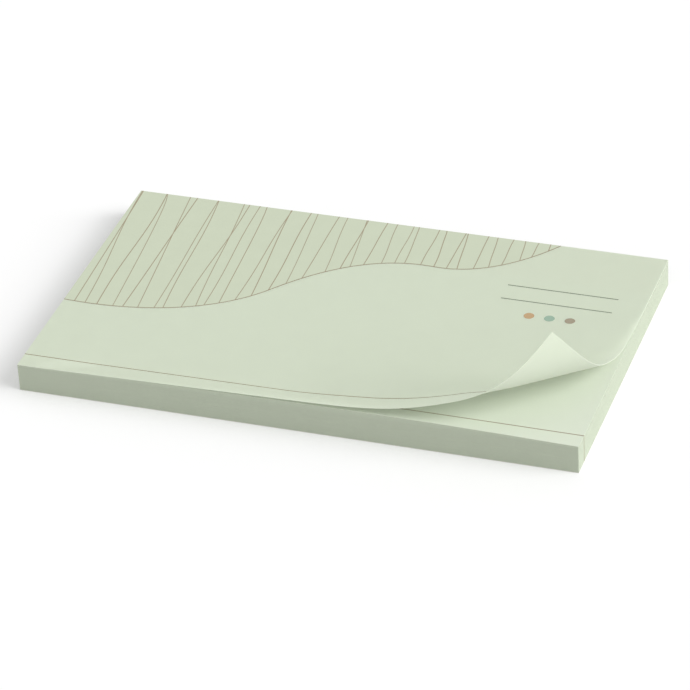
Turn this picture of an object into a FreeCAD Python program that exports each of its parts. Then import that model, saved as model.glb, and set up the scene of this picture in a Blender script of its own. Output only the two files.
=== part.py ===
import FreeCAD, Part
import math
import os

# Sticky note pad lying flat. Its top note has come up at the front right corner and curls back over the pad.
# The origin is the middle of the pad's base. X runs along the long edge to the right, Y to the back, Z up.
# Lengths are in millimetres and angles in degrees.

# The pad
pad_width = 125.0
pad_depth = 75.0
note_count = 50
note_thickness = 0.11
backing_thickness = 0.15

# The low-tack glue along the back edge, one film on the underside of every note
glue_film = 0.018
glue_band_depth = 15.0

# The free front edges stand a little apart, most of all half way along, so the pile swells there
front_swell = 0.6
swell_depth = 8.0

# The curl follows straight fold lines across the flat note, from its front edge to its right edge.
# They fan out from the line that starts at the front left corner to short ones that cut the front right corner.
# Places on the curl are measured back from the front right corner along the right edge.
curl_reach = 54.5
corner_fold_angle = 41.5
fan_power = 7.0
tip_length = 1.5
fold_steps = 64

# Three bends make the curl: how far each runs towards the corner, and how far it turns the note.
# The lift starts where the curl does, and the roll runs to the corner.
lift_run = 1.0
lift_turn = 3.0
rise_start = 43.7
rise_run = 18.6
rise_turn = 25.2
roll_start = 26.5
roll_turn = 74.0

# Worked out from the sizes above
left = -pad_width / 2
right = pad_width / 2
front = -pad_depth / 2
back = pad_depth / 2
note_pitch = note_thickness + glue_film
block_height = (note_count - 1) * note_pitch
block_top = backing_thickness + block_height
note_base = block_top + glue_film
note_top = note_base + note_thickness

# A curve of degree 4 reaches 3/8 of the height to which its middle pole is drawn
swell_pull = front_swell * 8 / 3


def point(x, y, z):
    return FreeCAD.Vector(x, y, z)


def flat_face(*corners):
    """A flat face through its corners, taken in order."""
    return Part.Face(Part.makePolygon([*corners, corners[0]]))


def closed_solid(faces):
    """One solid from faces that meet along all their edges, whichever way round they were made."""
    skin = Part.makeCompound(faces)
    skin.sewShape()
    solid = Part.makeSolid(Part.makeShell(skin.Faces))
    if solid.Volume < 0:
        solid.reverse()
    return solid


def sheet(base, thickness):
    """A full-size flat sheet."""
    return Part.makeBox(pad_width, pad_depth, thickness, point(left, front, base))


def swell_pole(column, row):
    """A pole of the swell, 5 columns across the pad and 3 rows back from its front edge. Only one is raised."""
    raised = swell_pull if (column, row) == (2, 0) else 0.0
    return point(left + pad_width * column / 4, front + swell_depth * row / 2, block_top + raised)


def swell_face():
    """The front of the pile's top, flat at its back and sides, with the middle of its front edge drawn up."""
    patch = Part.BezierSurface()
    patch.increase(4, 2)
    for column in range(5):
        for row in range(3):
            patch.setPole(column + 1, row + 1, swell_pole(column, row))
    return patch.toShape()


def front_edge():
    """The pile's front top edge, which is the front edge of the swell."""
    curve = Part.BezierCurve()
    curve.setPoles([swell_pole(column, 0) for column in range(5)])
    return curve.toShape()


def note_block():
    """All the notes under the top one, glued into a pile."""
    fade = front + swell_depth
    low = [point(x, y, backing_thickness) for x, y in ((left, front), (right, front), (right, back), (left, back))]
    high = [point(p.x, p.y, block_top) for p in low]
    left_fade = point(left, fade, block_top)
    right_fade = point(right, fade, block_top)
    front_outline = Part.Wire([
        Part.makePolygon([high[0], low[0], low[1], high[1]]),
        front_edge(),
    ])
    return closed_solid([
        flat_face(*low),
        Part.Face(front_outline),
        flat_face(low[1], low[2], high[2], right_fade, high[1]),
        flat_face(low[2], low[3], high[3], high[2]),
        flat_face(low[3], low[0], high[0], left_fade, high[3]),
        flat_face(left_fade, right_fade, high[2], high[3]),
        swell_face(),
    ])


def adhesive_strip():
    """The glue that holds the top note down along the back edge."""
    return Part.makeBox(pad_width, glue_band_depth, glue_film, point(left, back - glue_band_depth, block_top))


def turned_by(place, start, run, turn):
    """How far a bend has turned the note by the time it comes to this place, easing in and out."""
    share = min(max((start - place) / run, 0.0), 1.0)
    return turn * share * share * (3 - 2 * share)


def total_turn(place):
    return (turned_by(place, curl_reach, lift_run, lift_turn)
            + turned_by(place, rise_start, rise_run, rise_turn)
            + turned_by(place, roll_start, roll_start, roll_turn))


def fold_line(place):
    """The ends on the flat note's front and right edges of the fold line at this place."""
    share = place / curl_reach
    straight = curl_reach / math.tan(math.radians(corner_fold_angle))
    along_front = straight * share + (pad_width - straight) * share ** fan_power
    return point(right - along_front, front, note_top), point(right, front + place, note_top)


def curl_places():
    """Places of the fold lines, evenly spaced from the flat part of the note to its tip."""
    step = (curl_reach - tip_length) / fold_steps
    return [curl_reach - step * i for i in range(fold_steps + 1)]


class CurledEdges:
    """Where the ends of the fold lines lie once the note is folded, on its printed side and on its underside."""

    def __init__(self):
        self.front_top = []
        self.front_under = []
        self.side_top = []
        self.side_under = []
        places = curl_places()
        placed = FreeCAD.Placement()
        for number, place in enumerate(places):
            if number:
                placed = placed * self.fold_between(places[number - 1], place)
            self.add_line(placed, place)
        self.tip_top = placed.multVec(point(right, front, note_top))
        self.tip_under = self.under(placed, self.tip_top)

    def fold_between(self, farther, nearer):
        """One small fold, about the line half way between two places, that lifts the corner side."""
        middle = (farther + nearer) / 2
        on_front, on_side = fold_line(middle)
        turn = total_turn(nearer) - total_turn(farther)
        about = FreeCAD.Rotation(on_front - on_side, turn)
        return FreeCAD.Placement(FreeCAD.Vector(), about, on_front)

    def under(self, placed, on_top):
        """The point on the underside that lies straight through the paper."""
        return on_top - placed.Rotation.multVec(point(0, 0, note_thickness))

    def add_line(self, placed, place):
        on_front, on_side = (placed.multVec(end) for end in fold_line(place))
        self.front_top.append(on_front)
        self.front_under.append(self.under(placed, on_front))
        self.side_top.append(on_side)
        self.side_under.append(self.under(placed, on_side))


def smooth_edge(points):
    """A smooth curve through the points, each at the same parameter as its partner on the other edges."""
    curve = Part.BSplineCurve()
    curve.interpolate(Points=points, Parameters=[i / (len(points) - 1) for i in range(len(points))])
    return curve.toShape()


def top_note():
    """The printed note: flat over most of the pad and curled up at the front right corner."""
    edges = CurledEdges()
    front_top, front_under, side_top, side_under = (
        smooth_edge(points)
        for points in (edges.front_top, edges.front_under, edges.side_top, edges.side_under)
    )
    left_top, start_top = edges.front_top[0], edges.side_top[0]
    left_under, start_under = edges.front_under[0], edges.side_under[0]
    last_front_top, last_side_top = edges.front_top[-1], edges.side_top[-1]
    last_front_under, last_side_under = edges.front_under[-1], edges.side_under[-1]
    back_right_top = point(right, back, note_top)
    back_left_top = point(left, back, note_top)
    back_right_under = point(right, back, note_base)
    back_left_under = point(left, back, note_base)
    flat_part = [
        flat_face(left_top, start_top, back_right_top, back_left_top),
        flat_face(left_under, start_under, back_right_under, back_left_under),
        flat_face(start_top, back_right_top, back_right_under, start_under),
        flat_face(back_right_top, back_left_top, back_left_under, back_right_under),
        flat_face(back_left_top, left_top, left_under, back_left_under),
    ]
    curl = [
        Part.makeRuledSurface(front_top, side_top),
        Part.makeRuledSurface(front_under, side_under),
        Part.makeRuledSurface(front_top, front_under),
        Part.makeRuledSurface(side_top, side_under),
    ]
    tip = [
        flat_face(last_front_top, edges.tip_top, last_side_top),
        flat_face(last_front_under, edges.tip_under, last_side_under),
        flat_face(last_front_top, edges.tip_top, edges.tip_under, last_front_under),
        flat_face(edges.tip_top, last_side_top, last_side_under, edges.tip_under),
    ]
    return closed_solid(flat_part + curl + tip)


os.makedirs("parts", exist_ok=True)
nodes = {
    "backing_sheet": sheet(0.0, backing_thickness),
    "note_block": note_block(),
    "adhesive_strip": adhesive_strip(),
    "top_note": top_note(),
}
for name, shape in nodes.items():
    shape.exportStep("parts/" + name + ".step")
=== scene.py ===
import math
import random

import bmesh
import bpy
from mathutils import Matrix, Vector
from mathutils.geometry import interpolate_bezier


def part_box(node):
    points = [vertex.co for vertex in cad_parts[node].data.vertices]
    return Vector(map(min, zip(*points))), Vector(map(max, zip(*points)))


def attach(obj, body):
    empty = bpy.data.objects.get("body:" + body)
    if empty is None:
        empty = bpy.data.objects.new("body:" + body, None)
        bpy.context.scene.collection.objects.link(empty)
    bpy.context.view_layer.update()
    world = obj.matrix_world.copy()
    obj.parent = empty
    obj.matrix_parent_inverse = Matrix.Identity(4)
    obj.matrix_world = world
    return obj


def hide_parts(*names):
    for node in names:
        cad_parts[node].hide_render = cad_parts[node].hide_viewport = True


bl_info = {
    "name": "Sticky Note Pad",
    "version": (1, 0, 0),
    "blender": (4, 5, 0),
    "location": "View3D > Sidebar > Note Pad",
    "description": "Builds a pad of printed sticky notes whose top note curls up at one corner",
    "category": "Add Mesh",
}

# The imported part, and the places that every piece here takes from it. Lengths are in metres.
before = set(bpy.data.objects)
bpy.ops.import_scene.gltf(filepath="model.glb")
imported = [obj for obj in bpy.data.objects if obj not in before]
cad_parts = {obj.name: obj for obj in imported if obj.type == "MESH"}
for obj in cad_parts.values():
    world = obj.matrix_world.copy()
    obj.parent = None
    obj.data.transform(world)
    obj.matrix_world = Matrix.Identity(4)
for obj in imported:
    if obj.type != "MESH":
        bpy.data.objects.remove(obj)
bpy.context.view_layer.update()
PAD_LOW, PAD_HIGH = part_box("backing_sheet")
GLUE_LOW, GLUE_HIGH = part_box("adhesive_strip")
MM = 0.001
WIDTH = PAD_HIGH.x - PAD_LOW.x
DEPTH = PAD_HIGH.y - PAD_LOW.y
LEFT, RIGHT = PAD_LOW.x, PAD_HIGH.x
FRONT, BACK = PAD_LOW.y, PAD_HIGH.y
PILE_BASE = PAD_HIGH.z
PILE_TOP = GLUE_LOW.z
NOTE_BASE = GLUE_HIGH.z
ROOT = "root"

# The pile's front top edge is drawn by poles, evenly spaced from left to right, at these heights in
# millimetres
SWELL_POLES = (0.0, 0.05, 1.3, 0.05, 1.6, 0.56, 0.2)

# Columns and rows of faces on each page of the pile. The first rows share out the depth of the swell
PAGE_COLUMNS = 32
PAGE_ROWS = 12
SWELL_ROWS = 8
PAGE_SEED = 7

# The top note's front edge keeps the lift that the curl gives it, and behind a short bend the note sags by a
# share of its lift. The sag fades towards the back, and from left to right between two places
FRONT_BEND = 5 * MM
SAG_SHARE = 0.62
SAG_FADE = 25 * MM
SAG_FROM = -3 * MM
SAG_TO = 15 * MM

# Where the curl begins to roll, the note bulges up. From front to back the bulge rises to its crest and then
# fades. From left to right it rises between the first two places, and fades between the last two
BULGE_HEIGHT = 1.15 * MM
BULGE_CREST = 7 * MM
BULGE_FADE = 21 * MM
BULGE_START = (10 * MM, 34 * MM)
BULGE_END = (36 * MM, 48 * MM)

# A hair of air under the top note, where the light that comes through it gets out
NOTE_AIR = 0.002 * MM

# The z of a normal that looks down. Those of the flat note's cut faces are about 0
LOOKS_DOWN = -0.5

# Print stands a hair above the paper and is sunk a little into it, so that it never flickers with it. Each
# stripe stands a step lower than the last one, which it may cross
INK_ABOVE = 0.02 * MM
INK_BELOW = 0.02 * MM
FIELD_ABOVE = 0.015 * MM
LINE_ABOVE = 0.03 * MM
UNDER_ABOVE = 0.009 * MM
STRIPE_STEP = 0.0003 * MM

# How many faces each kind of print has along it, and a dot round it
RULE_STEPS = 160
WAVE_STEPS = 96
STRIPE_STEPS = 16
WRITING_STEPS = 40
LINE_END_STEPS = 12
FIELD_ROWS = 12
DOT_SEGMENTS = 40

# A line's direction is looked for over this share of its path to either side
PATH_STEP = 0.01

# The field narrows to nothing at the end of the wave, where vertices nearer than this become one
MERGE_WITHIN = 0.0001 * MM

# The stripes. Their leans and widths are shares of those in the pad's sizes, and are drawn at random from
# these ranges. Every second stripe leans more, and a bow of 1 is a straight stripe
STRIPE_SEED = 11
FIRST_FOOT = 0.9
MORE_LEAN = (0.65, 1.1)
LESS_LEAN = (-0.05, 0.4)
STRIPE_BOW = (0.7, 1.15)
STRIPE_WOBBLE = 0.3 * MM
STRIPE_WIDTHS = (0.8, 1.1)

# Two lengths of stripe, as shares of the pad's depth: one leans in full, and one so short ends the row
LONG_STRIPE = 0.6
SHORT_STRIPE = 0.03

# The writing lines and the row of dots, near the right edge
WRITING_LEFT = 31 * MM
WRITING_RIGHT = 56 * MM
WRITING_LINES = (19 * MM, 13.5 * MM)
DOT_ROW = 8 * MM

# The camera stands and aims as the photograph's did. Its places and clips are in metres, its roll in degrees,
# and its lens and sensor in millimetres
CAMERA_PLACE = (0.23874, -0.65762, 0.45351)
CAMERA_AIM = (0.00026, -0.00336, 0.0)
CAMERA_ROLL = -3.182
CAMERA_LENS = 198.5
CAMERA_SENSOR = 36.0
CAMERA_CLIP = (0.01, 50.0)

# Each lamp: the way to it from the pad, and its share of the lamps' light on a level surface
LAMPS = {
    "front_lamp": ((0.754, -0.133, 0.643), 0.56),
    "back_lamp": ((0.893, 0.157, 0.423), 0.44),
}

# The ground's width, and how far it lies under the pad, so that the two never flicker
GROUND_SIZE = 6.0
GROUND_GAP = 0.02 * MM

# Uncoated paper: its weak shine, the fineness of its clouds and of its fibres, how much the fibres twist, and
# how high they stand
PAPER_SHINE = 0.25
CLOUD_SCALE = 260.0
FIBRE_SCALE = 5200.0
FIBRE_TWIST = 0.6
FIBRE_HEIGHT = 0.01 * MM

# How much of the light that meets either side of a single sheet goes into it
LIGHT_THROUGH = 0.45

# The shade between two pages on the pile's cut faces, and where it starts and ends, as shares of a page's
# thickness from the page's middle
PAGE_GAP_SHADE = 0.65
PAGE_GAP_FROM = 0.2
PAGE_SIDE = 0.5

# On the map of a page, what is nearer to its middle than this is not a cut face
PAGE_MIDDLE = 0.001

# The difference of tone between pages, then a painted highlight on the pile's edges: how much paler it makes
# them and how far in
PAGE_TONES = 0.03
EDGE_HIGHLIGHT = 0.06
HIGHLIGHT_REACH = 0.5 * MM

# The blade's streaks: their depth, their lean in radians, and their fineness along X, Y and Z
BLADE_STREAKS = 0.04
STREAK_LEAN = (0.35, 0.35, 0)
STREAK_SCALE = (1600, 1600, 90)

# Two faces that meet at more than this angle have a sharp edge between them
SHARP_FROM = math.radians(35)


def display(red, green, blue):
    """A display colour, 0 to 255, as the linear colour that Blender's sockets hold."""
    def linear(value):
        share = value / 255
        if share <= 0.04045:
            return share / 12.92
        return ((share + 0.055) / 1.055) ** 2.4
    return linear(red), linear(green), linear(blue)


def length(name, description, default, **limits):
    """A length that a user may set, shown in the scene's unit."""
    return bpy.props.FloatProperty(
        name=name, description=description, default=default, unit="LENGTH", precision=5, **limits
    )


def angle(name, description, degrees):
    """An angle that a user may set."""
    return bpy.props.FloatProperty(
        name=name, description=description, default=math.radians(degrees), subtype="ANGLE", unit="ROTATION"
    )


def colour(name, description, default):
    """A colour that a user may set."""
    return bpy.props.FloatVectorProperty(
        name=name, description=description, default=default, subtype="COLOR", size=3, min=0.0, max=1.0
    )


class NotePadSizes(bpy.types.PropertyGroup):
    """Sizes of the paper and of the print."""

    note_count: bpy.props.IntProperty(
        name="Notes", description="Number of notes, with the top one", default=50, min=2, max=200
    )
    note_thickness: length("Note thickness", "Thickness of one note", 0.11 * MM)
    page_slip: length("Page slip", "How far a page of the pile may stand out of line", 0.012 * MM)
    swell_depth: length("Swell depth", "How far back the pile's front edges stand apart", 8 * MM)
    mesh_step: length("Mesh step", "Size of one face of the curled note", 0.8 * MM)
    line_width: length("Line width", "Width of a printed line", 0.2 * MM)
    under_line_width: length("Lower line width", "Width of the lines on the lower notes", 0.26 * MM)
    rule_inset: length("Ruled line inset", "From a note's front edge to its ruled line", 4.35 * MM)
    stripe_pitch: length("Stripe pitch", "Mean distance between the feet of two stripes", 2.9 * MM)
    stripe_jitter: length("Stripe jitter", "How unevenly the stripes are spaced", 0.7 * MM)
    stripe_lean: length("Stripe lean", "How far a long stripe's foot lies right of its head", 5.0 * MM)
    dot_radius: length("Dot radius", "Radius of a printed dot", 1.15 * MM)
    dot_spacing: length("Dot spacing", "Distance between two printed dots", 4.6 * MM)


class NoteCurlSizes(bpy.types.PropertyGroup):
    """The curl of the top note. Places are measured back from its corner along the right edge."""

    reach: length("Reach", "Where the curl starts", 54.5 * MM)
    corner_angle: angle("Corner angle", "Slant of the fold lines near the corner", 41.5)
    fan_power: bpy.props.FloatProperty(
        name="Fan power", description="How soon the fold lines swing to the front left corner", default=7.0
    )
    lift_run: length("Lift run", "Length of the first, gentle bend", 1.0 * MM)
    lift_turn: angle("Lift turn", "How far the first bend turns the note", 3.0)
    rise_start: length("Rise start", "Where the second bend starts", 43.7 * MM)
    rise_run: length("Rise run", "Length of the second bend", 18.6 * MM)
    rise_turn: angle("Rise turn", "How far the second bend turns the note", 25.2)
    roll_start: length("Roll start", "Where the last bend starts. It runs to the corner", 26.5 * MM)
    roll_turn: angle("Roll turn", "How far the last bend turns the note", 74.0)


class NotePadColours(bpy.types.PropertyGroup):
    """Colours of the paper and of the inks."""

    paper: colour("Paper", "Pale green of the notes", display(210, 219, 198))
    sheet: colour("Sheet", "Upper side of the top note, which lets light through", display(240, 249, 228))
    # Painted shade: the lower side is set darker than the upper, to tone down the curl's lit flap
    underside_painted_shade: colour("Underside", "Lower side of the top note", display(227, 236, 214))
    # Painted light: a lighter, less green copy of the paper on the pile's top page, for the light under the
    # curl
    second_sheet_painted_light: colour("Second sheet", "Paper that shows under the curl", display(218, 225, 209))
    field: colour("Field", "Print behind the stripes", display(203, 211, 188))
    line_ink: colour("Line ink", "Ruled line and wavy line", display(150, 136, 114))
    stripe_ink: colour("Stripe ink", "Stripes behind the wavy line", display(165, 155, 132))
    line_end: colour("Line ends", "Ends of the lines on the side faces", display(150, 140, 115))
    writing_ink: colour("Writing ink", "The two writing lines", display(112, 120, 100))
    tan_ink: colour("Tan ink", "First dot", display(193, 163, 125))
    teal_ink: colour("Teal ink", "Second dot", display(156, 182, 163))
    brown_ink: colour("Brown ink", "Third dot", display(163, 153, 133))
    backing: colour("Backing", "Plain backing sheet", display(222, 224, 212))
    glue: colour("Glue", "Low-tack glue along the back", display(214, 216, 196))


class NotePadStudio(bpy.types.PropertyGroup):
    """The light and the ground."""

    sky: bpy.props.FloatProperty(name="Sky", description="Light from all round", default=0.615, min=0.0)
    lamps: bpy.props.FloatProperty(
        name="Lamps", description="Light of both lamps on a level surface", default=0.4, min=0.0
    )
    softness: angle("Softness", "How wide a lamp looks from the pad", 30)
    ground_bounce: bpy.props.FloatProperty(
        name="Ground bounce", description="How much light the ground sends back to the pad", default=0.8
    )
    shadow_depth: bpy.props.FloatProperty(
        name="Shadow depth", description="How much of the pad's shadow the ground shows", default=0.8
    )


def within(value, low, high):
    return min(max(value, low), high)


def eased(share):
    """A share from 0 to 1 that starts and ends gently."""
    share = within(share, 0.0, 1.0)
    return share * share * (3 - 2 * share)


def sizes():
    return bpy.context.scene.note_pad_sizes


def colours():
    return bpy.context.scene.note_pad_colours


def note_top():
    """Height of the printed face of the top note where it lies flat."""
    return NOTE_BASE + sizes().note_thickness


class Curl:
    """Lays points of the flat top note on the curled one, by many small folds about straight lines."""

    FOLDS = 320

    def __init__(self):
        self.settings = bpy.context.scene.note_pad_curl
        self.height = note_top()
        step = self.settings.reach / self.FOLDS
        self.lines = []
        self.moves = [Matrix.Identity(4)]
        for number in range(self.FOLDS):
            farther = self.settings.reach - step * number
            on_front, on_side = self.fold_line(farther - step / 2)
            turn = self.turned_at(farther - step) - self.turned_at(farther)
            to_line = Matrix.Translation(on_front)
            fold = to_line @ Matrix.Rotation(turn, 4, on_front - on_side) @ to_line.inverted()
            self.lines.append((on_front, on_side))
            self.moves.append(self.moves[-1] @ fold)

    def fold_line(self, place):
        """The ends on the flat note's front and right edges of the fold line at this place."""
        reach = self.settings.reach
        share = place / reach
        straight = reach / math.tan(self.settings.corner_angle)
        along_front = straight * share + (WIDTH - straight) * share ** self.settings.fan_power
        on_front = Vector((RIGHT - along_front, FRONT, self.height))
        on_side = Vector((RIGHT, FRONT + place, self.height))
        return on_front, on_side

    def turned_at(self, place):
        """How far the note has turned by the time it comes to this place."""
        s = self.settings
        bends = (
            (s.reach, s.lift_run, s.lift_turn),
            (s.rise_start, s.rise_run, s.rise_turn),
            (s.roll_start, s.roll_start, s.roll_turn),
        )
        return sum(turn * eased((start - place) / run) for start, run, turn in bends)

    def lies_past(self, flat, line):
        """Whether a flat point lies on the corner's side of a fold line."""
        on_front, on_side = line
        run = on_side - on_front
        return run.x * (flat.y - on_front.y) - run.y * (flat.x - on_front.x) < 0

    def lay(self, flat):
        """Where a point of the flat note lies on the curled one, with its sag and its bulge."""
        fewest, most = 0, self.FOLDS
        while fewest < most:
            middle = (fewest + most) // 2
            if self.lies_past(flat, self.lines[middle]):
                fewest = middle + 1
            else:
                most = middle
        laid = self.moves[fewest] @ flat
        return laid + Vector((0, 0, bulge_at(flat) - sag_at(flat) * (laid.z - flat.z)))


def sag_at(flat):
    """The share of its lift that the top note gives up at a flat point."""
    back = flat.y - FRONT
    behind_bend = eased(back / FRONT_BEND) * (1 - eased((back - FRONT_BEND) / SAG_FADE))
    return SAG_SHARE * behind_bend * (1 - eased((flat.x - SAG_FROM) / (SAG_TO - SAG_FROM)))


def bulge_at(flat):
    """How far the top note bulges up at a flat point."""
    back = flat.y - FRONT
    before_crest = 1 - (1 - within(back / BULGE_CREST, 0.0, 1.0)) ** 2
    along = before_crest * (1 - eased((back - BULGE_CREST) / BULGE_FADE))
    starts, full = BULGE_START
    fades, ends = BULGE_END
    across = eased((flat.x - starts) / (full - starts)) * (1 - eased((flat.x - fades) / (ends - fades)))
    return BULGE_HEIGHT * along * across


def swell_at(x, y):
    """How far the swell lifts the top of the pile here."""
    across = within((x - LEFT) / WIDTH, 0.0, 1.0)
    back = within((FRONT + sizes().swell_depth - y) / sizes().swell_depth, 0.0, 1.0)
    last = len(SWELL_POLES) - 1
    height = sum(
        math.comb(last, number) * across ** number * (1 - across) ** (last - number) * pole
        for number, pole in enumerate(SWELL_POLES)
    )
    return height * MM * back * back


def finished_piece(name, bm, materials, slot):
    """A new piece from a closed bmesh, shaded smooth between its sharp edges. It rides on the pad."""
    bm.normal_update()
    bmesh.ops.recalc_face_normals(bm, faces=bm.faces[:])
    for face in bm.faces:
        face.smooth = True
    for edge in bm.edges:
        edge.smooth = edge.calc_face_angle(0.0) < SHARP_FROM
    mesh = bpy.data.meshes.new(name)
    bm.to_mesh(mesh)
    bm.free()
    for material in materials:
        mesh.materials.append(material)
    piece = bpy.data.objects.new(name, mesh)
    bpy.context.scene.collection.objects.link(piece)
    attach(piece, ROOT)
    return piece


def flat_grid(bm, across, along):
    """A flat grid one unit wide and one deep, with its middle at the origin. Returns its vertices."""
    made = bmesh.ops.create_grid(bm, x_segments=across, y_segments=along, size=0.5)
    return made["verts"]


def doubled(bm, faces):
    """Makes flat faces into a closed solid, with no thickness yet. Returns the vertices of its new side."""
    solid = bmesh.ops.extrude_face_region(bm, geom=faces)
    return [item for item in solid["geom"] if isinstance(item, bmesh.types.BMVert)]


def slab_sheet(bm, low, high, across, along):
    """A closed flat sheet between two corners, divided into faces. Returns its vertices."""
    upper = flat_grid(bm, across, along)
    size = high - low
    middle = (low + high) / 2
    bmesh.ops.scale(bm, vec=(size.x, size.y, 1.0), verts=upper)
    bmesh.ops.translate(bm, vec=(middle.x, middle.y, high.z), verts=upper)
    lower = doubled(bm, list(dict.fromkeys(face for vertex in upper for face in vertex.link_faces)))
    bmesh.ops.translate(bm, vec=(0, 0, -size.z), verts=lower)
    return upper + lower


def new_group(name, inputs, outputs):
    """An empty shader node group with named sockets."""
    group = bpy.data.node_groups.new(name, "ShaderNodeTree")
    for label, kind, default in inputs:
        socket = group.interface.new_socket(label, in_out="INPUT", socket_type=kind)
        if default is not None:
            socket.default_value = default
    for label, kind in outputs:
        group.interface.new_socket(label, in_out="OUTPUT", socket_type=kind)
    return group


def joined(tree, kind, settings=None, **inputs):
    """A new node, with its settings made and its inputs given a value or joined to a socket.

    An input is named as on the node, with _ for a space, or by its number, as _0 for the first.
    """
    node = tree.nodes.new(kind)
    for name, value in (settings or {}).items():
        setattr(node, name, value)
    for name, value in inputs.items():
        label = int(name[1:]) if name[1:].isdigit() else name.replace("_", " ")
        socket = node.inputs[label]
        if isinstance(value, bpy.types.NodeSocket):
            tree.links.new(value, socket)
        else:
            socket.default_value = value
    return node


def reckoned(tree, operation, *values):
    """What a Math node makes of its values, which may be sockets."""
    inputs = {f"_{number}": value for number, value in enumerate(values)}
    return joined(tree, "ShaderNodeMath", {"operation": operation}, **inputs).outputs[0]


def mixed(tree, share, first, second):
    """A shader that goes from the first to the second as the share goes from 0 to 1."""
    return joined(tree, "ShaderNodeMixShader", _0=share, _1=first.outputs[0], _2=second.outputs[0])


def object_place(tree):
    """The place on the piece, in the piece's own coordinates."""
    return joined(tree, "ShaderNodeTexCoord").outputs["Object"]


def paper_fibres():
    """The cloudy shade and the fine fibres of uncoated paper, as one group for every paper."""
    name = "Paper fibres"
    if name in bpy.data.node_groups:
        return bpy.data.node_groups[name]
    group = new_group(
        name,
        [("Vector", "NodeSocketVector", None), ("Colour", "NodeSocketColor", (0.8, 0.8, 0.8, 1.0)),
         ("Clouds", "NodeSocketFloat", 0.02), ("Fibres", "NodeSocketFloat", 0.03)],
        [("Colour", "NodeSocketColor"), ("Height", "NodeSocketFloat")],
    )
    given = group.nodes.new("NodeGroupInput")
    result = group.nodes.new("NodeGroupOutput")
    place, cloud_depth, fibre_depth = (given.outputs[label] for label in ("Vector", "Clouds", "Fibres"))
    clouds = joined(group, "ShaderNodeTexNoise", Vector=place, Scale=CLOUD_SCALE, Detail=2.0)
    fibres = joined(
        group, "ShaderNodeTexNoise", Vector=place, Scale=FIBRE_SCALE, Detail=3.0, Distortion=FIBRE_TWIST
    )
    cloud_shade = reckoned(group, "MULTIPLY_ADD", clouds.outputs["Fac"], cloud_depth, 1.0)
    fibre_shade = reckoned(group, "MULTIPLY_ADD", fibres.outputs["Fac"], fibre_depth, cloud_shade)
    # Each noise is about a half on average, and taking half of both depths off keeps the colour as given
    both_depths = reckoned(group, "ADD", cloud_depth, fibre_depth)
    centred = reckoned(group, "MULTIPLY_ADD", both_depths, -0.5, fibre_shade)
    shaded = joined(
        group, "ShaderNodeVectorMath", {"operation": "SCALE"}, _0=given.outputs["Colour"], Scale=centred
    )
    group.links.new(shaded.outputs[0], result.inputs["Colour"])
    group.links.new(fibres.outputs["Fac"], result.inputs["Height"])
    return group


def paper_material(
    name, paper_colour, roughness=0.9, clouds=0.03, fibres=0.05, relief=0.25, single_sheet=False
):
    """Matt uncoated paper, with its fibres laid out by the piece's own coordinates.

    On a single sheet they follow the sheet's map instead, and some light goes through it.
    """
    material = bpy.data.materials.new(name)
    material.use_nodes = True
    tree = material.node_tree
    shader = tree.nodes["Principled BSDF"]
    shader.inputs["Roughness"].default_value = roughness
    shader.inputs["Specular IOR Level"].default_value = PAPER_SHINE
    if single_sheet:
        sheet_map = joined(tree, "ShaderNodeUVMap", {"uv_map": "sheet"}).outputs[0]
        place = joined(tree, "ShaderNodeMapping", Vector=sheet_map, Scale=(WIDTH, DEPTH, 1.0)).outputs[0]
    else:
        place = object_place(tree)
    grain = joined(
        tree, "ShaderNodeGroup", {"node_tree": paper_fibres()},
        Vector=place, Colour=(*paper_colour, 1.0), Clouds=clouds, Fibres=fibres,
    )
    bump = joined(
        tree, "ShaderNodeBump", Height=grain.outputs["Height"], Strength=relief, Distance=FIBRE_HEIGHT
    )
    tree.links.new(grain.outputs["Colour"], shader.inputs["Base Color"])
    tree.links.new(bump.outputs["Normal"], shader.inputs["Normal"])
    if single_sheet:
        through = joined(tree, "ShaderNodeBsdfTranslucent", Color=(1.0, 1.0, 1.0, 1.0))
        both = mixed(tree, LIGHT_THROUGH, shader, through)
        tree.links.new(both.outputs[0], tree.nodes["Material Output"].inputs["Surface"])
    return material


def painted_edge_highlight():
    """The painted highlight's mask: 1 along a box's upper and upright edges, fading from them. One group."""
    name = "Painted edge highlight"
    if name in bpy.data.node_groups:
        return bpy.data.node_groups[name]
    group = new_group(
        name,
        [("Vector", "NodeSocketVector", None),
         ("Half size", "NodeSocketVector", (WIDTH / 2, DEPTH / 2, 0.0)),
         ("Top", "NodeSocketFloat", PILE_TOP), ("Reach", "NodeSocketFloat", HIGHLIGHT_REACH)],
        [("Mask", "NodeSocketFloat")],
    )
    given = group.nodes.new("NodeGroupInput")
    result = group.nodes.new("NodeGroupOutput")
    aside = joined(group, "ShaderNodeVectorMath", {"operation": "ABSOLUTE"}, _0=given.outputs["Vector"])
    from_sides = joined(
        group, "ShaderNodeVectorMath", {"operation": "SUBTRACT"},
        _0=given.outputs["Half size"], _1=aside.outputs[0],
    )
    sides = joined(group, "ShaderNodeSeparateXYZ", Vector=from_sides.outputs[0])
    place = joined(group, "ShaderNodeSeparateXYZ", Vector=given.outputs["Vector"])
    nearer = reckoned(group, "MINIMUM", sides.outputs["X"], sides.outputs["Y"])
    farther = reckoned(group, "MAXIMUM", sides.outputs["X"], sides.outputs["Y"])
    below_top = reckoned(group, "SUBTRACT", given.outputs["Top"], place.outputs["Z"])
    from_edge = reckoned(group, "MAXIMUM", nearer, reckoned(group, "MINIMUM", farther, below_top))
    mask = joined(
        group, "ShaderNodeMapRange", {"interpolation_type": "SMOOTHSTEP"},
        Value=from_edge, From_Min=0.0, From_Max=given.outputs["Reach"], To_Min=1.0, To_Max=0.0,
    )
    group.links.new(mask.outputs[0], result.inputs["Mask"])
    return group


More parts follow.
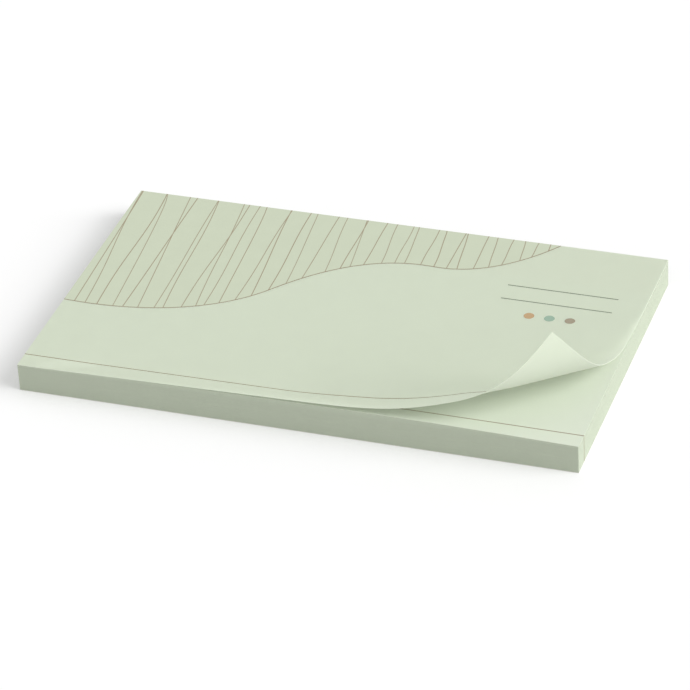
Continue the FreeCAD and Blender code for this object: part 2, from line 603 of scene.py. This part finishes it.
def pile_material():
    """The pile's paper: a painted shadow between pages, a tone for each page, the blade's streaks, a painted
    highlight.
    """
    material = paper_material("pile paper", colours().paper)
    tree = material.node_tree
    shader = tree.nodes["Principled BSDF"]
    paper = shader.inputs["Base Color"].links[0].from_socket
    page_map = joined(tree, "ShaderNodeUVMap", {"uv_map": "page"})
    page = joined(tree, "ShaderNodeSeparateXYZ", Vector=page_map.outputs[0])
    aside = reckoned(tree, "ABSOLUTE", reckoned(tree, "SUBTRACT", page.outputs["Y"], PAGE_SIDE))
    gap = joined(
        tree, "ShaderNodeMapRange", {"interpolation_type": "SMOOTHSTEP"},
        Value=aside, From_Min=PAGE_GAP_FROM, From_Max=PAGE_SIDE, To_Min=1.0, To_Max=1 - PAGE_GAP_SHADE,
    )
    tone = reckoned(tree, "MULTIPLY_ADD", page.outputs["X"], PAGE_TONES, 1 - PAGE_TONES / 2)
    # The upper and lower sides of a page lie at its middle on the map, and are left plain
    cut_face = joined(
        tree, "ShaderNodeMapRange",
        Value=aside, From_Min=0.0, From_Max=PAGE_MIDDLE, To_Min=0.0, To_Max=1.0,
    )
    place = object_place(tree)
    drawn_out = joined(
        tree, "ShaderNodeMapping", Vector=place, Rotation=STREAK_LEAN, Scale=STREAK_SCALE
    )
    streaks = joined(tree, "ShaderNodeTexNoise", Vector=drawn_out.outputs[0], Scale=1.0, Detail=2.0)
    streak = reckoned(
        tree, "MULTIPLY_ADD", streaks.outputs["Fac"], BLADE_STREAKS, 1 - BLADE_STREAKS / 2
    )
    # A painted highlight that pales the pile's upper and upright edges, added to the blade's streaks
    highlight = joined(tree, "ShaderNodeGroup", {"node_tree": painted_edge_highlight()}, Vector=place)
    streaks_and_highlight = reckoned(tree, "MULTIPLY_ADD", highlight.outputs["Mask"], EDGE_HIGHLIGHT, streak)
    shade = reckoned(tree, "MULTIPLY", reckoned(tree, "MULTIPLY", gap.outputs[0], tone), streaks_and_highlight)
    shade = joined(tree, "ShaderNodeMix", _0=cut_face.outputs[0], _2=1.0, _3=shade)
    shaded = joined(
        tree, "ShaderNodeVectorMath", {"operation": "SCALE"}, _0=paper, Scale=shade.outputs[0]
    )
    tree.links.new(shaded.outputs[0], shader.inputs["Base Color"])
    return material


def ink_material(name, ink_colour):
    """Ink sunk into paper: matt, and a little uneven with the fibres under it."""
    return paper_material(name, ink_colour, roughness=0.85, clouds=0.06, fibres=0.16, relief=0.2)


def glue_material():
    """Low-tack glue, a clear film a little shinier than the paper."""
    return paper_material("low-tack glue", colours().glue, roughness=0.45, clouds=0.05, fibres=0.02)


class NOTEPAD_OT_backing_sheet(bpy.types.Operator):
    """Finish the plain backing sheet under the pile"""

    bl_idname = "notepad.backing_sheet"
    bl_label = "Backing Sheet"

    def execute(self, context):
        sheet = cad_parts["backing_sheet"]
        material = paper_material("backing paper", colours().backing, roughness=0.8, clouds=0.05)
        sheet.data.materials.clear()
        sheet.data.materials.append(material)
        return {"FINISHED"}


class NOTEPAD_OT_glue_strip(bpy.types.Operator):
    """Finish the glue that holds the top note along its back edge"""

    bl_idname = "notepad.glue_strip"
    bl_label = "Glue Strip"

    def execute(self, context):
        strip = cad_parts["adhesive_strip"]
        strip.data.materials.clear()
        strip.data.materials.append(glue_material())
        return {"FINISHED"}


class NOTEPAD_OT_note_pile(bpy.types.Operator):
    """Build the pile of notes under the top one, page by page"""

    bl_idname = "notepad.note_pile"
    bl_label = "Note Pile"

    def execute(self, context):
        rng = random.Random(PAGE_SEED)
        slip = sizes().page_slip
        pages = sizes().note_count - 1
        bm = bmesh.new()
        page_map = bm.loops.layers.uv.new("page")
        for page in range(pages):
            moved = Vector((rng.uniform(-slip, slip), rng.uniform(-slip, slip), 0))
            self.add_page(bm, page, pages, moved, page_map, rng.random())
        # The pile's top page is painted lighter than the rest, to stand in for the light under the curl
        second_sheet_painted_light = paper_material("second sheet painted lighter", colours().second_sheet_painted_light)
        piece = finished_piece("note_pile", bm, [pile_material(), second_sheet_painted_light], "paper_pile")
        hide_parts("note_block")
        return {"FINISHED"}

    def add_page(self, bm, page, pages, moved, page_map, tone):
        """One page. Most of its rows of faces lie at the front, where its share of the swell lifts it.

        Its map holds the page's own tone and, on its cut faces, the place between its two sides.
        """
        pitch = (PILE_TOP - PILE_BASE) / pages
        base = PILE_BASE + pitch * page
        margin = Vector((sizes().page_slip, sizes().page_slip, 0))
        low = Vector((LEFT, FRONT, base)) + margin
        high = Vector((RIGHT, BACK, base + pitch)) - margin
        vertices = slab_sheet(bm, low, high, PAGE_COLUMNS, PAGE_ROWS)
        upper = {vertex for vertex in vertices if vertex.co.z > base + pitch / 2}
        for face in {face for vertex in vertices for face in vertex.link_faces}:
            cut = 0 < sum(vertex in upper for vertex in face.verts) < len(face.verts)
            face.material_index = int(page == pages - 1 and not cut)
            for loop in face.loops:
                loop[page_map].uv = (tone, float(loop.vert in upper) if cut else PAGE_SIDE)
        for vertex in vertices:
            back_share = (vertex.co.y - low.y) / (high.y - low.y)
            vertex.co.y = low.y + self.moved_back(back_share, high.y - low.y)
            share = (page + (vertex in upper)) / pages
            vertex.co.z += share * swell_at(vertex.co.x, vertex.co.y)
            vertex.co += moved

    def moved_back(self, share, depth):
        """How far back a row of faces lies, from its share of the rows."""
        swell = sizes().swell_depth
        swell_share = SWELL_ROWS / PAGE_ROWS
        if share < swell_share:
            return swell * share / swell_share
        return swell + (depth - swell) * (share - swell_share) / (1 - swell_share)


class NOTEPAD_OT_top_note(bpy.types.Operator):
    """Build the top note, flat at first, and curl it"""

    bl_idname = "notepad.top_note"
    bl_label = "Top Note"

    def execute(self, context):
        bm = bmesh.new()
        step = sizes().mesh_step
        low = Vector((LEFT, FRONT, NOTE_BASE + NOTE_AIR))
        high = Vector((RIGHT, BACK, note_top()))
        slab_sheet(bm, low, high, round(WIDTH / step), round(DEPTH / step))
        bmesh.ops.recalc_face_normals(bm, faces=bm.faces[:])
        sheet_map = bm.loops.layers.uv.new("sheet")
        for face in bm.faces:
            face.material_index = int(face.normal.z < LOOKS_DOWN)
            for loop in face.loops:
                x, y, _ = loop.vert.co
                loop[sheet_map].uv = ((x - LEFT) / WIDTH, (y - FRONT) / DEPTH)
        curl = Curl()
        for vertex in bm.verts:
            vertex.co = curl.lay(vertex.co)
        paper = paper_material("note paper", colours().sheet, single_sheet=True)
        # The lower side is painted darker than the upper, to tone down the lit flap of the curl
        underside_painted_shade = paper_material("note underside", colours().underside_painted_shade, single_sheet=True)
        piece = finished_piece("curled_note", bm, [paper, underside_painted_shade], "printed_paper")
        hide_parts("top_note")
        return {"FINISHED"}


def laid_on_note(curl):
    """Puts a flat place, with a height above the paper, on the top note. Print stops at its edges."""
    def lay(x, y, height):
        flat = Vector((within(x, LEFT, RIGHT), within(y, FRONT, BACK), note_top() + height))
        return curl.lay(flat)
    return lay


def laid_on_pile(x, y, height):
    """Puts a flat place, with a height above the paper, on the sheet under the top note."""
    return Vector((x, y, PILE_TOP + swell_at(x, y) + height))


def laid_on_side(side):
    """Puts a place along and up a side face on that face, so that print stays inside the pad's box."""
    outward = 1 if side > 0 else -1

    def lay(y, z, height):
        return Vector((side - outward * (INK_ABOVE - height), y, z))
    return lay


def ink_film(bm, across, along, place, lay, above):
    """A thin closed film of print. place gives the flat spot for each share across and along it."""
    # The film starts as a block one unit wide, deep and high, with its top at 0
    for vertex in slab_sheet(bm, Vector((0, 0, -1)), Vector((1, 1, 0)), across, along):
        x, y = place(vertex.co.x, vertex.co.y)
        vertex.co = lay(x, y, above if vertex.co.z > -0.5 else -INK_BELOW)


def ink_line(bm, path, width, steps, lay, above):
    """A printed line of even width along a path, which gives a flat spot for each share of it."""
    def place(across, along):
        before = path(max(along - PATH_STEP, 0))
        after = path(min(along + PATH_STEP, 1))
        ahead = (Vector(after) - Vector(before)).normalized()
        x, y = path(along)
        offset = (across - 0.5) * width
        return x + ahead.y * offset, y - ahead.x * offset
    ink_film(bm, 1, steps, place, lay, above)


def straight_path(start, end):
    """A straight path between two flat spots."""
    def path(share):
        return start[0] + (end[0] - start[0]) * share, start[1] + (end[1] - start[1]) * share
    return path


def stripe_path(head_x, foot, bow, wobble):
    """The path of a stripe from the back edge to its foot, a little bowed and wavy."""
    def path(share):
        x = head_x + (foot[0] - head_x) * share ** bow + wobble * math.sin(2 * math.pi * share)
        return x, BACK + (foot[1] - BACK) * share
    return path


class Wave:
    """The long wavy line across the notes, which runs from the left edge to the back edge."""

    STEPS = 24
    # Each bend runs from its first spot to its last, drawn towards the two between, in millimetres
    BENDS = (
        ((-62.5, -10.4), (-45.4, -11.7), (-28.7, -7.4), (-19.3, 4.5)),
        ((-19.3, 4.5), (-11.3, 14.7), (-0.8, 23.4), (13.0, 22.2)),
        ((13.0, 22.2), (23.3, 21.3), (32.2, 29.2), (37.9, 37.5)),
    )

    def __init__(self):
        self.spots = []
        for bend in self.BENDS:
            ends = [Vector((x * MM, y * MM, 0)) for x, y in bend]
            self.spots += interpolate_bezier(*ends, self.STEPS + 1)[bool(self.spots):]

    def at(self, share):
        """The flat spot at this share of the wave."""
        place = share * (len(self.spots) - 1)
        number = min(int(place), len(self.spots) - 2)
        spot = self.spots[number].lerp(self.spots[number + 1], place - number)
        return spot.x, min(spot.y, BACK)

    def share_at(self, x):
        """The share of the wave that lies at this x."""
        for number, (spot, following) in enumerate(zip(self.spots, self.spots[1:])):
            if x <= following.x:
                return (number + (x - spot.x) / (following.x - spot.x)) / (len(self.spots) - 1)
        return 1.0


class NOTEPAD_OT_ruled_lines(bpy.types.Operator):
    """Print the ruled line along the front of the top note and of the sheet under it"""

    bl_idname = "notepad.ruled_lines"
    bl_label = "Ruled Lines"

    def execute(self, context):
        y = FRONT + sizes().rule_inset
        path = straight_path((LEFT, y), (RIGHT, y))
        ink = ink_material("brown line ink", colours().line_ink)
        top_lay = laid_on_note(Curl())
        for name, width, lay, above, slot in (
            ("ruled_line_top", sizes().line_width, top_lay, LINE_ABOVE, "printed_paper"),
            ("ruled_line_under", sizes().under_line_width, laid_on_pile, UNDER_ABOVE, "paper_pile"),
        ):
            bm = bmesh.new()
            ink_line(bm, path, width, RULE_STEPS, lay, above)
            piece = finished_piece(name, bm, [ink], slot)
            # The film is far thicker than real ink, so it doesn't keep light from the thin paper under it
            piece.visible_shadow = False
            piece.visible_diffuse = False
            piece.visible_transmission = False
        return {"FINISHED"}


class NOTEPAD_OT_striped_field(bpy.types.Operator):
    """Print the field behind the wavy line, its stripes and the line itself"""

    bl_idname = "notepad.striped_field"
    bl_label = "Striped Field"

    def execute(self, context):
        wave = Wave()
        lay = laid_on_note(Curl())
        ink = ink_material("stripe ink", colours().stripe_ink)
        line_ink = ink_material("wave ink", colours().line_ink)
        field_print = paper_material("field print", colours().field, clouds=0.05, fibres=0.07)
        self.print_field(wave, lay, field_print)
        self.print_stripes(wave, lay, ink)
        bm = bmesh.new()
        ink_line(bm, wave.at, sizes().line_width, WAVE_STEPS, lay, LINE_ABOVE)
        finished_piece("wave_line", bm, [line_ink], "printed_paper")
        return {"FINISHED"}

    def print_field(self, wave, lay, material):
        def place(across, along):
            x, y = wave.at(across)
            return x, y + (BACK - y) * along
        bm = bmesh.new()
        ink_film(bm, WAVE_STEPS, FIELD_ROWS, place, lay, FIELD_ABOVE)
        bmesh.ops.remove_doubles(bm, verts=bm.verts[:], dist=MERGE_WITHIN)
        finished_piece("printed_field", bm, [material], "printed_paper")

    def print_stripes(self, wave, lay, material):
        """Stripes from the back edge to the wave. Every second one leans more, so that pairs meet."""
        rng = random.Random(STRIPE_SEED)
        pitch, jitter = sizes().stripe_pitch, sizes().stripe_jitter
        bm = bmesh.new()
        for number in range(int((wave.at(1)[0] - LEFT) / pitch) + 1):
            foot_x = LEFT + pitch * (number + FIRST_FOOT) + rng.uniform(-jitter, jitter)
            more = rng.uniform(*MORE_LEAN)
            less = rng.uniform(*LESS_LEAN)
            bow = rng.uniform(*STRIPE_BOW)
            wobble = rng.uniform(-STRIPE_WOBBLE, STRIPE_WOBBLE)
            width = sizes().line_width * rng.uniform(*STRIPE_WIDTHS)
            foot = wave.at(wave.share_at(foot_x))
            depth_share = (BACK - foot[1]) / DEPTH
            if depth_share < SHORT_STRIPE:
                break
            fullness = depth_share / LONG_STRIPE
            head_x = foot[0] - sizes().stripe_lean * (more if number % 2 else less) * fullness
            path = stripe_path(head_x, foot, bow, wobble * fullness)
            ink_line(bm, path, width, STRIPE_STEPS, lay, LINE_ABOVE - STRIPE_STEP * number)
        finished_piece("stripes", bm, [material], "printed_paper")


class NOTEPAD_OT_writing_marks(bpy.types.Operator):
    """Print two plain writing lines and three plain dots at the right of the top note"""

    bl_idname = "notepad.writing_marks"
    bl_label = "Writing Marks"

    def execute(self, context):
        lay = laid_on_note(Curl())
        bm = bmesh.new()
        for y in WRITING_LINES:
            path = straight_path((WRITING_LEFT, y), (WRITING_RIGHT, y))
            ink_line(bm, path, sizes().line_width, WRITING_STEPS, lay, LINE_ABOVE)
        ink = ink_material("writing ink", colours().writing_ink)
        finished_piece("writing_lines", bm, [ink], "printed_paper")
        inks = (("tan", colours().tan_ink), ("teal", colours().teal_ink), ("brown", colours().brown_ink))
        for number, (name, ink_colour) in enumerate(inks):
            x = (WRITING_LEFT + WRITING_RIGHT) / 2 + (number - 1) * sizes().dot_spacing
            self.print_dot("dot_" + name, x, DOT_ROW, lay, ink_material(name + " ink", ink_colour))
        return {"FINISHED"}

    def print_dot(self, name, x, y, lay, material):
        bm = bmesh.new()
        bmesh.ops.create_circle(
            bm, cap_ends=True, cap_tris=True, segments=DOT_SEGMENTS, radius=sizes().dot_radius
        )
        lower = set(doubled(bm, bm.faces[:]))
        for vertex in bm.verts:
            height = -INK_BELOW if vertex in lower else LINE_ABOVE
            vertex.co = lay(vertex.co.x + x, vertex.co.y + y, height)
        finished_piece(name, bm, [material], "printed_paper")


class NOTEPAD_OT_line_ends(bpy.types.Operator):
    """Show the ends of the printed lines of every note, one above the other, on the side faces"""

    bl_idname = "notepad.line_ends"
    bl_label = "Line Ends"

    def execute(self, context):
        ink = ink_material("line end ink", colours().line_end)
        rule = FRONT + sizes().rule_inset
        for name, side, places in (
            ("line_ends_right", RIGHT, (rule,)),
            ("line_ends_left", LEFT, (rule, Wave().at(0)[1])),
        ):
            bm = bmesh.new()
            for y in places:
                top = PILE_TOP + swell_at(side, y)
                path = straight_path((y, PILE_BASE), (y, top))
                ink_line(bm, path, sizes().under_line_width, LINE_END_STEPS, laid_on_side(side), INK_ABOVE)
            finished_piece(name, bm, [ink], "paper_pile")
        return {"FINISHED"}


def ray_sees_studio(tree):
    """1 for the camera's rays and for those in gloss and through glass, 0 for the light on the pad.

    A ray that paper has let through counts as a transmission ray and a diffuse one. It is light, and gets 0.
    """
    rays = tree.nodes.new("ShaderNodeLightPath").outputs
    clear = reckoned(tree, "SUBTRACT", rays["Is Transmission Ray"], rays["Is Diffuse Ray"])
    seen = reckoned(tree, "MAXIMUM", rays["Is Camera Ray"], rays["Is Glossy Ray"])
    return reckoned(tree, "MAXIMUM", seen, clear)


class NOTEPAD_OT_studio(bpy.types.Operator):
    """Set up the pale ground, the soft light and the camera"""

    bl_idname = "notepad.studio"
    bl_label = "Studio"

    def execute(self, context):
        scene = context.scene
        scene.view_settings.view_transform = "Standard"
        self.lay_ground()
        self.light_sky(scene)
        self.hang_lamps(scene)
        self.place_camera(scene)
        return {"FINISHED"}

    def lay_ground(self):
        bm = bmesh.new()
        vertices = flat_grid(bm, 1, 1)
        bmesh.ops.scale(bm, vec=(GROUND_SIZE, GROUND_SIZE, 1.0), verts=vertices)
        bmesh.ops.translate(bm, vec=(0, 0, PAD_LOW.z - GROUND_GAP), verts=vertices)
        mesh = bpy.data.meshes.new("studio_ground")
        bm.to_mesh(mesh)
        bm.free()
        mesh.materials.append(self.ground_material())
        ground = bpy.data.objects.new("studio_ground", mesh)
        bpy.context.scene.collection.objects.link(ground)

    def ground_material(self):
        studio = bpy.context.scene.note_pad_studio
        material = bpy.data.materials.new("studio ground")
        material.use_nodes = True
        tree = material.node_tree
        tree.nodes.clear()
        out = tree.nodes.new("ShaderNodeOutputMaterial")
        bounce = studio.ground_bounce
        dull = joined(tree, "ShaderNodeBsdfDiffuse", Color=(bounce, bounce, bounce, 1))
        shaded = joined(tree, "ShaderNodeBsdfDiffuse", Color=(1, 1, 1, 1))
        white = joined(tree, "ShaderNodeEmission", Color=(1, 1, 1, 1), Strength=1.0)
        seen = mixed(tree, studio.shadow_depth, white, shaded)
        both = mixed(tree, ray_sees_studio(tree), dull, seen)
        tree.links.new(both.outputs[0], out.inputs["Surface"])
        return material

    def light_sky(self, scene):
        world = bpy.data.worlds.new("studio sky")
        world.use_nodes = True
        tree = world.node_tree
        tree.nodes.clear()
        out = tree.nodes.new("ShaderNodeOutputWorld")
        light = joined(tree, "ShaderNodeBackground", Color=(1, 1, 1, 1), Strength=scene.note_pad_studio.sky)
        white = joined(tree, "ShaderNodeBackground", Color=(1, 1, 1, 1), Strength=1.0)
        both = mixed(tree, ray_sees_studio(tree), light, white)
        tree.links.new(both.outputs[0], out.inputs["Surface"])
        scene.world = world

    def hang_lamps(self, scene):
        studio = scene.note_pad_studio
        for name, (side, share) in LAMPS.items():
            towards = Vector(side).normalized()
            data = bpy.data.lights.new(name, "SUN")
            data.energy = studio.lamps * share * math.pi / towards.z
            data.angle = studio.softness
            lamp = bpy.data.objects.new(name, data)
            lamp.rotation_euler = towards.to_track_quat("Z", "Y").to_euler()
            scene.collection.objects.link(lamp)

    def place_camera(self, scene):
        data = bpy.data.cameras.new("photo camera")
        data.lens = CAMERA_LENS
        data.sensor_width = CAMERA_SENSOR
        data.clip_start, data.clip_end = CAMERA_CLIP
        camera = bpy.data.objects.new("photo_camera", data)
        place, aim = Vector(CAMERA_PLACE), Vector(CAMERA_AIM)
        level = (aim - place).to_track_quat("-Z", "Y").to_matrix()
        rolled = level @ Matrix.Rotation(math.radians(CAMERA_ROLL), 3, "Z")
        camera.matrix_world = Matrix.Translation(place) @ rolled.to_4x4()
        scene.collection.objects.link(camera)
        scene.camera = camera


class NOTEPAD_PT_panel(bpy.types.Panel):
    """The pad's sizes, colours and pieces, in the 3D view's sidebar"""

    bl_label = "Sticky Note Pad"
    bl_idname = "NOTEPAD_PT_panel"
    bl_space_type = "VIEW_3D"
    bl_region_type = "UI"
    bl_category = "Note Pad"

    def draw(self, context):
        scene = context.scene
        for title, group in (
            ("Sizes", scene.note_pad_sizes),
            ("Curl", scene.note_pad_curl),
            ("Colours", scene.note_pad_colours),
            ("Studio", scene.note_pad_studio),
        ):
            box = self.layout.box()
            box.label(text=title)
            for name in type(group).__annotations__:
                box.prop(group, name)
        column = self.layout.column(align=True)
        for operator in OPERATORS:
            column.operator(operator.bl_idname)


GROUPS = {
    "note_pad_sizes": NotePadSizes,
    "note_pad_curl": NoteCurlSizes,
    "note_pad_colours": NotePadColours,
    "note_pad_studio": NotePadStudio,
}
OPERATORS = (
    NOTEPAD_OT_backing_sheet,
    NOTEPAD_OT_glue_strip,
    NOTEPAD_OT_note_pile,
    NOTEPAD_OT_top_note,
    NOTEPAD_OT_ruled_lines,
    NOTEPAD_OT_striped_field,
    NOTEPAD_OT_writing_marks,
    NOTEPAD_OT_line_ends,
    NOTEPAD_OT_studio,
)
CLASSES = (*GROUPS.values(), *OPERATORS, NOTEPAD_PT_panel)


def register():
    for entry in CLASSES:
        bpy.utils.register_class(entry)
    for name, group in GROUPS.items():
        setattr(bpy.types.Scene, name, bpy.props.PointerProperty(type=group))


def unregister():
    for name in GROUPS:
        delattr(bpy.types.Scene, name)
    for entry in reversed(CLASSES):
        bpy.utils.unregister_class(entry)


def main():
    register()
    for operator in OPERATORS:
        family, name = operator.bl_idname.split(".")
        getattr(getattr(bpy.ops, family), name)()


if __name__ == "__main__":
    main()
